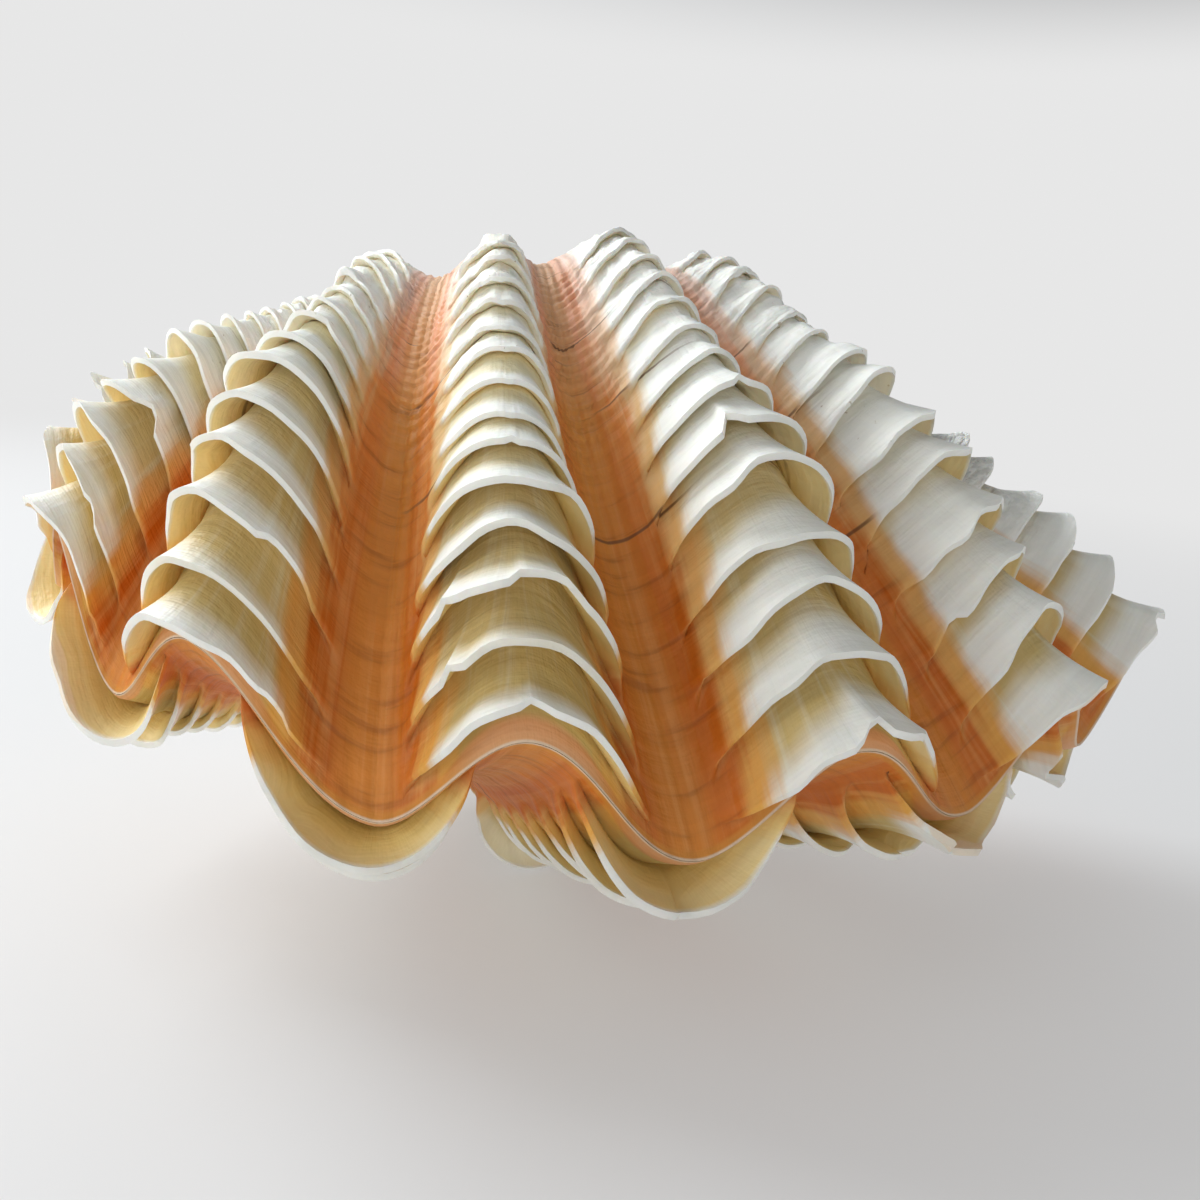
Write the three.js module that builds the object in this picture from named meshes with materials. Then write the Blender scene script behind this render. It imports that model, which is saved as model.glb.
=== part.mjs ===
// A closed pair of fluted giant clam valves.
// Each valve is one solid: a thick ribbed bowl whose ribs carry curled, leaf-like scutes.
// Every piece of the outside is a row of one growth sheet. A point on it is named by its
// direction in the fan round the beak, and by its growth angle: 0 on the free margin,
// half a turn at the beak. Earlier margins are the same curve, turned back and shrunk.
import * as THREE from 'three';

// Driving dimensions, in millimetres
const REACH = 76; // beak to the margin, straight ahead
const MARGIN_WAVE = 7.8; // height of the margin's wave, to each side of the middle
const RIB_RELIEF = 4.6; // extra rise of the ribs away from the margin
const SCUTE_REACH = 8; // how far a young scute runs out over the shell
const SCUTE_LIFT = 5.9; // how far its rim stands off the shell
const SCUTE_THICKNESS = 1.7;
const BACK_BULGE = 7.6; // roundness of the slopes beside the hinge
const LOWER_FULLNESS = 0.86; // height of the lower valve, as a share of the upper valve's
const VALVE_GAP = 0.5; // air between the two valves

// The three scutes of the lower valve that the closed pair lies on: row, rib and extra lift
const RESTING_SCUTES = [[7, 3, 6.2], [11, 3, 5.4], [7, 4, 5.2]];

// The fan of ribs
const RIB_DIRECTIONS = [-69, -43.5, -15, 16, 41.5, 64, 83]; // degrees from straight ahead
const FURROW_SHIFTS = [0, 1, 3.5, 1.5, 3, 0]; // how far a furrow lies right of midway, degrees
const FAN_END = Math.PI / 2;
const RIB_TWIST = -0.12; // turn of the ribs for each radian of growth
const COLUMNS_PER_RIB = 6;
const OUTLINE = [1, 0.24, 0.07]; // beak to margin by direction: level, slope and curve
const RIGHT_END = [0.05, -0.005]; // what the fourth and sixth powers add on the right
const WAVE_FADE = [1.4, FAN_END]; // directions between which the ribs flatten out
const TWIST_FADE = [1.15, FAN_END];
const RELIEF_GROWTH = 0.6; // growth angle at which the ribs have their full relief
const YOUNG_SHARPNESS = 1.5; // over 1 makes the furrows narrower than the ribs
const OLD_SHARPNESS = 0.9;
const SHARPNESS_ANGLES = [0.2, 1]; // growth angles between which the one turns into the other
const BULGE_FADE = [0.9, 1.5]; // directions between which the slopes' roundness sets in
const BULGE_ARCH = 0.62; // arch at which it is spent
const LOWER = 10; // added to the rib numbers of the lower valve

// Growth: how the margin shrinks towards the beak
const SHRINK = 0.724;
const SHRINK_EASE = 0.2335;
const BEAK_START = 1.35;
const BEAK_CLOSE = 0.8;
const BEAK_NARROWING = 0.229;
const ARCH_ROUNDNESS = 0.45;

// Scutes, counted from the margin to the beak; steps are growth angles from rim to rim
const SCUTE_ROWS = 14;
const FULL_ROWS = 5; // rows next to the margin, which keep a modelled rim
const FIRST_RIMS = [0.02, 0.015, 0.012, 0.034, 0.015, 0.012, 0.02]; // for each rib
const RIM_STEPS = [0.115, 0.11, 0.102, 0.077, 0.1, 0.113, 0.12]; // for each rib
const OLD_ROW = 8; // from this row on the steps widen
const STEP_GROWTH = 0.006; // by this much for each row twice
const FURROW_LAG = -0.5; // how far the furrow's rows lie behind the rims, in steps
const WEAR_ROWS = [3.5, 7.5]; // rows between which the scutes of the upper valve are worn down
const UPPER_WEAR = 0.72; // share of its height that an old scute has lost
const LOWER_WEAR = 0.2;
const YOUNG_ROWS = [-0.5, 2.5]; // rows next to the margin whose scutes have a size of their own
const UPPER_YOUNG = 0.55; // that size on the upper valve, at the margin
const LOWER_YOUNG = 0.75; // and on the lower valve, whose first scutes are its largest
const LOWER_SIZE = 0.38; // size of the other scutes of the lower valve
const WIDTH_ROWS = [0, 6]; // rows between which the scutes grow narrower
const UPPER_WIDTH = 0.78; // share of the rib's width that a scute spans
const LOWER_WIDTH = 0.7;
const OLD_WIDTH = 0.66;
const SCUTE_POINT = 0.8; // how pointed its two ends are: a half would round them off
const SCUTE_FADE = [1.44, 1.56]; // directions between which the scutes die out
const SIZE_SPREAD = 0.3; // how much the scutes differ in size
const ROOT_SPREAD = 0.25; // and in how deep they are rooted, as a share of the step
const REACH_STEP = 0.11; // the step that SCUTE_REACH is given for
const WORN_THICKNESS = 0.7; // share of the thickness that no wear takes
const UNDER_CURL = 1.6; // how sharply the under side curls up to the rim
const BACK_SLOPE = 2.2; // how quickly the upper side falls away behind the rim
const BACK_RUN = 0.95; // how far back it reaches, in steps
const LIP = { furrow: 0.012, crest: 0.008, lift: 0.004 }; // the first row behind the margin
const SCUTE_START = 0.018; // where the furrow's rows of the first scute begin

// Where the rows of triangles lie on a scute's section, and behind the last scute
const FULL_STATIONS = [{ under: 0 }, { under: 0.55 }, { under: 1 }, { over: 0.02 }, { over: 0.35 }];
const WORN_STATIONS = [{ under: 0 }, { over: 0 }];
const BEAK_ANGLES = [1.85, 2.25, 2.65, 3];

// The inside: a plain bowl, shrunk towards a curved line between the valves
const BOWL_ANGLES = [0, 0.3, 0.7, 1.2, 1.7, 2.2];
const RIM_WALL = 0.07; // share of the way to that line, at the rim
const DEEP_WALL = 0.25; // and deep inside
const DEEP_GROWTH = 0.6; // growth angle at which the wall has its full thickness
const BOWL_FLATTENING = 0.35; // share of the waves that the deepest part loses
const FLATTENING_ANGLES = [0.3, 1.5];
const MIDDLE_LINE = { side: 0.5, back: 0.25, front: 0.35 }; // half widths and depths of the line

const clamp = THREE.MathUtils.clamp;
const smooth = THREE.MathUtils.smoothstep;
const lerp = THREE.MathUtils.lerp;

// Directions of ribs and furrows, in radians, each half a step of rib phase apart
function fanStops() {
  const ribs = RIB_DIRECTIONS.map(THREE.MathUtils.degToRad);
  const stops = [-FAN_END];
  ribs.forEach((rib, index) => {
    stops.push(rib);
    if (index + 1 < ribs.length) {
      const shift = THREE.MathUtils.degToRad(FURROW_SHIFTS[index]);
      stops.push((rib + ribs[index + 1]) / 2 + shift);
    }
  });
  stops.push(FAN_END);
  return stops;
}

const FAN_STOPS = fanStops();

// Direction at a rib phase: whole numbers are ribs of the upper valve, halves its furrows
function directionAt(phase) {
  const place = clamp((phase + 0.5) * 2, 0, FAN_STOPS.length - 1);
  const index = Math.min(Math.floor(place), FAN_STOPS.length - 2);
  return lerp(FAN_STOPS[index], FAN_STOPS[index + 1], place - index);
}

function shrinkAt(growth) {
  const beak = Math.max(growth - BEAK_START, 0);
  return Math.exp(-(SHRINK * growth - SHRINK_EASE * growth ** 2 + BEAK_CLOSE * beak ** 3));
}

// Distance from the beak to the margin, for each direction, as a share of REACH
function marginRadius(direction) {
  const right = Math.max(direction, 0);
  const [level, slope, curve] = OUTLINE;
  const end = RIGHT_END[0] * right ** 4 + RIGHT_END[1] * right ** 6;
  return level + slope * direction + curve * direction ** 2 + end;
}

// The growth sheet: wave is 1 on a rib and -1 in a furrow
function sheetPoint(direction, growth, wave, fullness) {
  const away = Math.abs(direction);
  const turn = RIB_TWIST * growth * (1 - smooth(away, ...TWIST_FADE));
  const fan = clamp(direction + turn, -FAN_END, FAN_END);
  const fade = 1 - smooth(away, ...WAVE_FADE);
  const sharpness = lerp(YOUNG_SHARPNESS, OLD_SHARPNESS, smooth(growth, ...SHARPNESS_ANGLES));
  const rounded = 1 - 2 * ((1 - wave) / 2) ** sharpness;
  const relief = (RIB_RELIEF / REACH) * smooth(growth, 0, RELIEF_GROWTH) * rounded * fade;
  const rise = (MARGIN_WAVE / REACH) * wave * fade;
  const reach = marginRadius(direction) + relief;
  const arch = Math.max(Math.cos(fan), 0) ** ARCH_ROUNDNESS;
  const width = 1 - BEAK_NARROWING * (1 - Math.cos(growth));
  const bulge = (BACK_BULGE / REACH) * marginRadius(direction) * Math.sin(growth) *
    Math.sin(Math.PI * clamp(arch / BULGE_ARCH, 0, 1)) * smooth(Math.abs(fan), ...BULGE_FADE);
  const depth = Math.cos(fan) * reach * Math.cos(growth) - rise * Math.sin(growth) - bulge;
  const height = reach * Math.sin(growth) * arch * fullness + rise * Math.cos(growth);
  return new THREE.Vector3(reach * Math.sin(fan) * width, -depth, height)
    .multiplyScalar(shrinkAt(growth));
}

// A repeatable number from 0 to 1 for a scute
function chance(order, rib, salt) {
  const value = Math.sin(order * 12.9898 + rib * 78.233 + salt * 37.719) * 43758.5453;
  return value - Math.floor(value);
}

// How strongly a scute stands at a rib phase: 1 on the crest, 0 in the furrow
function scuteShare(order, phase, direction, youngWidth) {
  const across = 2 * Math.abs(phase - Math.round(phase));
  const width = lerp(youngWidth, OLD_WIDTH, smooth(order, ...WIDTH_ROWS));
  const arch = Math.max(1 - (across / width) ** 2, 0) ** SCUTE_POINT;
  return arch * (1 - smooth(Math.abs(direction), ...SCUTE_FADE));
}

// A value given for each rib, at any rib phase
function alongRibs(values, phase) {
  const place = clamp(phase, 0, values.length - 1);
  const index = Math.min(Math.floor(place), values.length - 2);
  return lerp(values[index], values[index + 1], place - index);
}

// Growth angle of the rim of a row of scutes; rows can be counted in parts
function rimAt(order, phase) {
  const widened = STEP_GROWTH * Math.max(order - OLD_ROW, 0) ** 2;
  return alongRibs(FIRST_RIMS, phase) + alongRibs(RIM_STEPS, phase) * order + widened;
}

// How large a scute of a rib is: the lower valve's aren't rubbed down as the upper valve's are
function scuteSize(order, rib) {
  const [young, grown, worn] =
    rib < LOWER ? [UPPER_YOUNG, 1, UPPER_WEAR] : [LOWER_YOUNG, LOWER_SIZE, LOWER_WEAR];
  const age = lerp(young, grown, smooth(order, ...YOUNG_ROWS));
  const wear = 1 - worn * smooth(order, ...WEAR_ROWS);
  return age * wear * (1 + SIZE_SPREAD * (chance(order, rib, 2) - 0.5));
}

// The leaf profile of one scute: growth angle and lift at a station of its section.
// A station runs along the under side (0 root, 1 rim) or the upper side (0 rim, 1 next root).
function leafPoint(order, rib, phase, station) {
  const size = scuteSize(order, rib);
  const step = rimAt(order + 1, phase) - rimAt(order, phase);
  const overhang = ((SCUTE_REACH / REACH) * size * step) / REACH_STEP;
  const rest = RESTING_SCUTES.find(([row, place]) => row === order && place + LOWER === rib);
  const lift = (SCUTE_LIFT / REACH) * size + (rest ? rest[2] / REACH : 0);
  const thickness = (SCUTE_THICKNESS / REACH) * lerp(WORN_THICKNESS, 1, Math.min(size, 1));
  const root = rimAt(order, phase) + overhang + ROOT_SPREAD * step * (chance(order, rib, 1) - 0.5);
  if (station.under !== undefined) {
    return [root - overhang * station.under, lift * station.under ** UNDER_CURL];
  }
  const run = (overhang + BACK_RUN * step) * station.over;
  return [root - overhang + run, (lift + thickness) * (1 - station.over) ** BACK_SLOPE];
}

// All rows of the outside, from the margin to the beak, each with its scute's order, its growth
// angle in the furrows, and its growth angle and lift on the crests
function sheetRows() {
  const margin = { order: 0, furrow: () => 0, crest: () => [0, 0] };
  const lip = { order: 0, furrow: () => LIP.furrow, crest: () => [LIP.crest, LIP.lift] };
  const rows = [margin, lip];
  for (let order = 0; order < SCUTE_ROWS; order += 1) {
    const stations = order < FULL_ROWS ? FULL_STATIONS : WORN_STATIONS;
    stations.forEach((station, index) => {
      const from = (phase) => (order > 0 ? rimAt(order + FURROW_LAG, phase) : SCUTE_START);
      const to = (phase) => rimAt(order + 1 + FURROW_LAG, phase);
      rows.push({
        order,
        furrow: (phase) => lerp(from(phase), to(phase), index / stations.length),
        crest: (rib, phase) => leafPoint(order, rib, phase, station),
      });
    });
  }
  BEAK_ANGLES.forEach((angle) => {
    rows.push({ order: SCUTE_ROWS, furrow: () => angle, crest: () => [angle, 0] });
  });
  return rows;
}

// Rib phases of the columns, from the left end of the hinge to the right end
function columnPhases() {
  const count = RIB_DIRECTIONS.length * COLUMNS_PER_RIB;
  return Array.from({ length: count + 1 }, (_, index) => index / COLUMNS_PER_RIB - 0.5);
}

// A sheet point at a rib phase; ribPhase is 0 for the upper valve and a half for the lower
function phasePoint(phase, growth, ribPhase, waveShare = 1) {
  const wave = Math.cos(2 * Math.PI * (phase - ribPhase)) * waveShare;
  return sheetPoint(directionAt(phase), growth, wave, ribPhase > 0 ? LOWER_FULLNESS : 1);
}

// The direction straight off the sheet, by small steps along both of its lines
function sheetNormal(phase, growth, ribPhase) {
  const nudge = 1e-4;
  const across = phasePoint(phase + nudge, growth, ribPhase)
    .sub(phasePoint(phase - nudge, growth, ribPhase));
  const along = phasePoint(phase, growth + nudge, ribPhase)
    .sub(phasePoint(phase, growth - nudge, ribPhase));
  return across.cross(along).normalize();
}

function outerGrid(ribPhase) {
  const phases = columnPhases();
  const youngWidth = ribPhase > 0 ? LOWER_WIDTH : UPPER_WIDTH;
  return sheetRows().map((row) => phases.map((phase) => {
    const share = scuteShare(row.order, phase - ribPhase, directionAt(phase), youngWidth);
    const rib = Math.round(phase - ribPhase) + (ribPhase > 0 ? LOWER : 0);
    const [crestGrowth, crestLift] = row.crest(rib, phase);
    const growth = lerp(row.furrow(phase), crestGrowth, share);
    const lift = crestLift * share * shrinkAt(growth);
    return phasePoint(phase, growth, ribPhase)
      .addScaledVector(sheetNormal(phase, growth, ribPhase), lift);
  }));
}

// The bowl inside: the waves die out inwards, and the wall grows thick towards the beak
function innerGrid(ribPhase) {
  return BOWL_ANGLES.map((growth) => columnPhases().map((phase) => {
    const wall = lerp(RIM_WALL, DEEP_WALL, smooth(growth, 0, DEEP_GROWTH));
    const wavy = 1 - BOWL_FLATTENING * smooth(growth, ...FLATTENING_ANGLES);
    return towardsMiddle(phasePoint(phase, growth, ribPhase, wavy), directionAt(phase), wall);
  }));
}

// On the margin itself only the two level directions shrink, so that the valves still meet
function towardsMiddle(point, direction, wall) {
  const across = MIDDLE_LINE.side * marginRadius(direction) * Math.sin(direction);
  const ahead = MIDDLE_LINE.back + MIDDLE_LINE.front * Math.cos(direction);
  const middle = new THREE.Vector3(across, -ahead, 0);
  const moved = point.clone().lerp(middle, wall);
  return wall === RIM_WALL ? moved.setZ(point.z) : moved;
}

// Triangles that join two rows of point numbers of any length, walked side by side
function stitch(rowA, rowB) {
  const faces = [];
  let a = 0;
  let b = 0;
  while (a < rowA.length - 1 || b < rowB.length - 1) {
    const nextA = (a + 1) / (rowA.length - 1);
    const nextB = (b + 1) / (rowB.length - 1);
    if (b === rowB.length - 1 || (a < rowA.length - 1 && nextA <= nextB)) {
      faces.push([rowA[a], rowA[a + 1], rowB[b]]);
      a += 1;
    } else {
      faces.push([rowA[a], rowB[b + 1], rowB[b]]);
      b += 1;
    }
  }
  return faces;
}

// One valve as a closed solid: outside, bowl, margin rim and the two hinge plates
function valveGeometry(ribPhase, side) {
  const outer = outerGrid(ribPhase);
  const inner = innerGrid(ribPhase);
  const columns = outer[0].length;
  const points = [...outer.flat(), ...inner.flat()];
  const beak = new THREE.Vector3(0, 0, 0);
  points.push(beak, towardsMiddle(beak, 0, DEEP_WALL));
  const outerTip = points.length - 2;
  const innerTip = points.length - 1;
  const line = (first, row) => Array.from({ length: columns }, (_, c) => first + row * columns + c);
  const outerRows = outer.map((_, row) => line(0, row));
  const innerRows = inner.map((_, row) => line(outer.length * columns, row));
  const faces = [];
  for (let row = 0; row + 1 < outerRows.length; row += 1) {
    faces.push(...stitch(outerRows[row], outerRows[row + 1]));
  }
  faces.push(...stitch(outerRows.at(-1), [outerTip]));
  for (let row = 0; row + 1 < innerRows.length; row += 1) {
    faces.push(...stitch(innerRows[row + 1], innerRows[row]));
  }
  faces.push(...stitch([innerTip], innerRows.at(-1)));
  faces.push(...stitch(innerRows[0], outerRows[0]));
  const edge = (rows, tip, column) => [...rows.map((row) => row.at(column)), tip];
  faces.push(...stitch(edge(outerRows, outerTip, 0), edge(innerRows, innerTip, 0)));
  faces.push(...stitch(edge(innerRows, innerTip, -1), edge(outerRows, outerTip, -1)));

  const position = new Float32Array(points.length * 3);
  points.forEach((point, index) => {
    const height = side * (point.z * REACH + VALVE_GAP / 2);
    position.set([point.x * REACH, point.y * REACH, height], index * 3);
  });
  const geometry = new THREE.BufferGeometry();
  geometry.setAttribute('position', new THREE.BufferAttribute(position, 3));
  geometry.setIndex(faces.flatMap(([a, b, c]) => (side > 0 ? [a, b, c] : [a, c, b])));
  geometry.computeVertexNormals();
  return geometry;
}

function valve(name, ribPhase, side, colour) {
  const material = new THREE.MeshStandardMaterial({ color: colour, roughness: 0.55, metalness: 0 });
  const mesh = new THREE.Mesh(valveGeometry(ribPhase, side), material);
  mesh.name = name;
  return mesh;
}

// The direction straight down from the pair when it lies on the rims of its three resting scutes
function restingDown() {
  const tips = RESTING_SCUTES.map(([order, rib]) => {
    const phase = rib + 0.5;
    const [growth, lift] = leafPoint(order, rib + LOWER, phase, { over: 0 });
    return phasePoint(phase, growth, 0.5)
      .addScaledVector(sheetNormal(phase, growth, 0.5), lift * shrinkAt(growth))
      .multiply(new THREE.Vector3(1, 1, -1));
  });
  const normal = tips[1].clone().sub(tips[0]).cross(tips[2].clone().sub(tips[0])).normalize();
  return normal.z > 0 ? normal.negate() : normal;
}

// The pair, turned into the pose that it lies in, its lowest point on the ground at the origin
function giantClamShell() {
  const pair = new THREE.Group();
  pair.add(valve('upper_valve', 0, 1, 0xefdfc8));
  pair.add(valve('lower_valve', 0.5, -1, 0xe3c9a8));
  pair.quaternion.setFromUnitVectors(restingDown(), new THREE.Vector3(0, 0, -1));
  pair.updateMatrixWorld(true);
  const box = new THREE.Box3().setFromObject(pair, true);
  const centre = box.getCenter(new THREE.Vector3());
  pair.position.set(-centre.x, -centre.y, -box.min.z);
  const clam = new THREE.Group();
  clam.add(pair);
  clam.updateMatrixWorld(true);
  return clam;
}

export default giantClamShell();
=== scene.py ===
"""A closed pair of fluted giant clam valves, ribbed and set with curled, leaf-like scutes.

Each valve is one growth sheet. A point on it is named by its rib phase, which counts the ribs from
the left end of the hinge to the right, and by its growth angle, which is 0 on the free margin and
half a turn at the beak. Earlier margins are the same wavy curve, turned back and shrunk.
"""
import math

import bpy
import numpy as np
from mathutils import Matrix, Quaternion, Vector


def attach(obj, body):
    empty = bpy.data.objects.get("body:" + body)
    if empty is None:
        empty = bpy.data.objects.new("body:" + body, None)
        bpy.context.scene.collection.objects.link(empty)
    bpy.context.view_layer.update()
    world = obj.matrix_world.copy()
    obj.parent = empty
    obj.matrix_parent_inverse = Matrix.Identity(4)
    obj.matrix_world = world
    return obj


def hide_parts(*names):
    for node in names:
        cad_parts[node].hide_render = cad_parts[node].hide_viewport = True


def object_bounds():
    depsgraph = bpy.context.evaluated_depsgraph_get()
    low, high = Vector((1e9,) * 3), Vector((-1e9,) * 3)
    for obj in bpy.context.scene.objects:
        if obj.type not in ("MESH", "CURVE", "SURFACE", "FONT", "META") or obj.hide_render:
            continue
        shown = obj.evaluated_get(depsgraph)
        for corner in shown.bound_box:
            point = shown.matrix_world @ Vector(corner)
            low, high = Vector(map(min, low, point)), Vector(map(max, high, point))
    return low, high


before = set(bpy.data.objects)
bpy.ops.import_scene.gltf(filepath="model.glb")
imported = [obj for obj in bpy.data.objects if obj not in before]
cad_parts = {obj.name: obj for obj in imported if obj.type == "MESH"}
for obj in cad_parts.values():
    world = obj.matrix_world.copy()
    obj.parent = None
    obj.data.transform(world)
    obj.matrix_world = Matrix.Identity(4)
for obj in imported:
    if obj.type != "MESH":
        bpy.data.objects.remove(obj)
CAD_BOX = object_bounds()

bl_info = {
    "name": "Giant Clam Shell",
    "version": (1, 0, 0),
    "blender": (4, 5, 0),
    "location": "3D View > Sidebar > Clam Shell",
    "description": "Builds a closed pair of fluted giant clam valves and a plain stage for it",
    "category": "Add Mesh",
}

# The pose in which the closed pair lies, in the row frame: turn (w, x, y, z) and place in metres
REST_TURN = (0.9931111503, 0.1098489018, 0.0407855601, 0.0)
REST_PLACE = (-0.0371664665, 0.0271085106, 0.0527570041)

# The fan of ribs; directions are in radians from straight ahead
RIB_DIRECTIONS = np.radians([-69, -43.5, -15, 16, 41.5, 64, 83])
FURROW_SHIFTS = np.radians([0, 1, 3.5, 1.5, 3, 0])
FAN_END = math.pi / 2
RIB_TWIST = -0.12
OUTLINE = (1, 0.24, 0.07)
RIGHT_END = (0.05, -0.005)
WAVE_FADE = (1.4, FAN_END)
TWIST_FADE = (1.15, FAN_END)
RELIEF_GROWTH = 0.6
YOUNG_SHARPNESS = 1.5
OLD_SHARPNESS = 0.9
SHARPNESS_ANGLES = (0.2, 1)
BULGE_FADE = (0.9, 1.5)
BULGE_ARCH = 0.62
LOWER_FULLNESS = 0.86
LOWER = 10

# Growth: how the margin shrinks towards the beak
SHRINK = 0.724
SHRINK_EASE = 0.2335
BEAK_START = 1.35
BEAK_CLOSE = 0.8
BEAK_NARROWING = 0.229
ARCH_ROUNDNESS = 0.45

# Scutes, counted from the margin to the beak; growth angles in radians
SCUTE_ROWS = 14
FIRST_RIMS = (0.02, 0.015, 0.012, 0.034, 0.015, 0.012, 0.02)
RIM_STEPS = (0.115, 0.11, 0.102, 0.077, 0.1, 0.113, 0.12)
OLD_ROW = 8
STEP_GROWTH = 0.006
FURROW_LAG = -0.5
WEAR_STARTS = (4.5, 4.5, 4.5, 3, 4.5, 5.5, 5.5)
WEAR_RUN = 3.5
UPPER_WEAR = 0.8
LOWER_WEAR = 0.2
UPPER_YOUNG_ROWS = (-0.5, 2.5)
LOWER_YOUNG_ROWS = (0.8, 2.8)
UPPER_YOUNG = 0.55
LOWER_YOUNG = 0.9
LOWER_SIZE = 0.38
WIDTH_ROWS = (0, 6)
UPPER_WIDTH = 0.78
LOWER_WIDTH = 0.7
OLD_WIDTH = 0.66
SCUTE_POINT = 0.8
SCUTE_FADE = (1.44, 1.56)
SIZE_SPREAD = 0.3
ROOT_SPREAD = 0.25
REACH_STEP = 0.11
WORN_THICKNESS = 0.7
UNDER_CURL = 1.6
BACK_SLOPE = 2.2
BACK_RUN = 0.95
SCUTE_START = 0.018
RESTING_SCUTES = ((7, 3, 0.0062), (11, 3, 0.0054), (7, 4, 0.0052))

# The rims: noise waves for each rib and each row, and their share of the raggedness
SLOW_WAVER = (5, 3.7)
QUICK_WAVER = (15, 5.3)
WAVER_SHARES = (0.7, 0.3)
CHIPS = (12, 2.9)
CHIP_EDGES = (0.6, 0.85)
CHIP_DEPTH = 0.9
LIFT_WAVER = (5, 4.1)
LIFT_SHARE = 0.5
RESTING_RAGGEDNESS = 0.2

# Growth ledges, riblets and lumps: noise waves for each rib and each radian, and growth angles
LEDGES_PER_RADIAN = 25
LEDGE_BENDS = (2.3, 4)
LEDGE_JITTER = (11, 9)
LEDGE_FADES = (5, 13)
LEDGE_EDGE = 0.8
YOUNG_LEDGE = 0.18
LEDGE_AGES = (0.3, 0.85)
LEDGE_END = (1.9, 2.6)
RIBLETS_PER_RIB = 13
RIBLET_FADES = (6, 3)
RIBLET_HEIGHT = 0.22
BEHIND_MARGIN = (0.02, 0.12)
LUMPS = (9, 34)
SMALL_LUMPS = (21, 70)
LUMP_AGES = (0.45, 0.9)
LUMP_END = (1.9, 2.4)

# The lip before the first scute: its rise and its end, by growth angle
LIP_SLOPE = 0.3
LIP_END = 0.03
LEAST_GROWTH = 2e-4

# The inside
RIM_WALL = 0.07
DEEP_WALL = 0.25
DEEP_GROWTH = 0.6
BOWL_FLATTENING = 0.35
FLATTENING_ANGLES = (0.3, 1.5)
MIDDLE_LINE = (0.5, 0.25, 0.35)

# The finish: growth angles of the cracks, rib phases of the crust and the ends, small marks' colours
REST_LINES = (0.47, 0.76, 1.02)
OLD_AGE = 1.6
CRUST_RIBS = (5.5, 5.8)
MIDDLE_RIB = 3.0
END_RIBS = (3.05, 3.4)
FINE_RIBLETS = 15
LINE_BROWN = (0.30, 0.07, 0.010)
ROOT_SHADOW = (0.38, 0.26, 0.08)
PIT_BROWN = (0.30, 0.20, 0.09)
CRACK_BROWN = (0.16, 0.075, 0.035)
CRUST_GREY = (0.40, 0.39, 0.36)
EDGE_CREAM = (0.90, 0.74, 0.56)

# How finely the sheet is worked out
COLUMNS_PER_RIB = 46
MARGIN_ROWS = (0, 0.003, 0.006, 0.01, 0.014)
UNDER_STATIONS = (0, 0.3, 0.58, 0.82, 1)
EDGE_STATIONS = (0.4,)
OVER_STATIONS = (0, 0.03, 0.08, 0.15, 0.24, 0.34, 0.45, 0.6, 0.78)
TAIL_ROWS = 24
LAST_ROW = 3.05
BOWL_BEND = 0.3
BOWL_END = 2.2
BOWL_ROWS = (6, 14)
SHARP_EDGE = math.radians(65)

# What the finish needs to know at the two tips under the beak, outside and inside
TIP_FACTS = {"growth": (math.pi, math.pi), "inside": (0, 1)}

# The stage, in metres: each light has a place, a share of the key light's power, a width, a colour
LIGHTS = {
    "window": ((-0.60, 0.28, 0.50), 1.0, 0.4, (0.93, 0.97, 1.0)),
    "left_fill": ((-0.7, -0.35, 0.25), 0.22, 0.4, (1.0, 0.97, 0.92)),
    "front_fill": ((0.1, -0.9, 0.6), 0.08, 0.8, (1.0, 0.98, 0.95)),
}
LIT_POINT = (0, 0, 0.05)
FLOOR_HALF = 12.0
FLOOR_FADE = (-0.5, 0.85)
FLOOR_GRAIN = 900.0
WINDOW_WAY = (-0.65, 0.38, 0.66)
SKY_COLOUR = (0.92, 0.96, 1.0, 1)
SKY_HEIGHTS = (0.26, 0.42)
CAMERA_TARGET = (0.3896, -0.4213, 0.0378)
SENSOR_WIDTH = 36
CLIP_DISTANCES = (0.005, 50)


class ClamSizes(bpy.types.PropertyGroup):
    """Sizes of the shell that a user would change."""

    reach: bpy.props.FloatProperty(
        name="Reach", description="Beak to free margin, straight ahead", default=0.076, unit="LENGTH")
    margin_wave: bpy.props.FloatProperty(
        name="Margin Wave", description="Height of the wavy margin, to each side", default=0.0078,
        unit="LENGTH")
    rib_relief: bpy.props.FloatProperty(
        name="Rib Relief", description="Extra rise of the ribs away from the margin", default=0.0046,
        unit="LENGTH")
    scute_reach: bpy.props.FloatProperty(
        name="Scute Reach", description="How far a young scute runs out over the shell",
        default=0.008, unit="LENGTH")
    scute_lift: bpy.props.FloatProperty(
        name="Scute Lift", description="How far its rim stands off the shell", default=0.0059,
        unit="LENGTH")
    scute_thickness: bpy.props.FloatProperty(
        name="Scute Thickness", description="Thickness of a young rim", default=0.0014,
        unit="LENGTH")
    back_bulge: bpy.props.FloatProperty(
        name="Back Bulge", description="Roundness of the slopes beside the hinge", default=0.0076,
        unit="LENGTH")
    valve_gap: bpy.props.FloatProperty(
        name="Valve Gap", description="Air between the two valves", default=0.0001, unit="LENGTH")
    rim_raggedness: bpy.props.FloatProperty(
        name="Rim Raggedness", description="Share of a scute's reach by which its rim wavers",
        default=0.3, subtype="FACTOR")
    growth_ledge: bpy.props.FloatProperty(
        name="Growth Ledge", description="Height of the growth ledges in the furrows",
        default=0.0006, unit="LENGTH")
    crest_lumps: bpy.props.FloatProperty(
        name="Crest Lumps", description="Height of the lumps on the worn crests",
        default=0.0005, unit="LENGTH")


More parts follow.
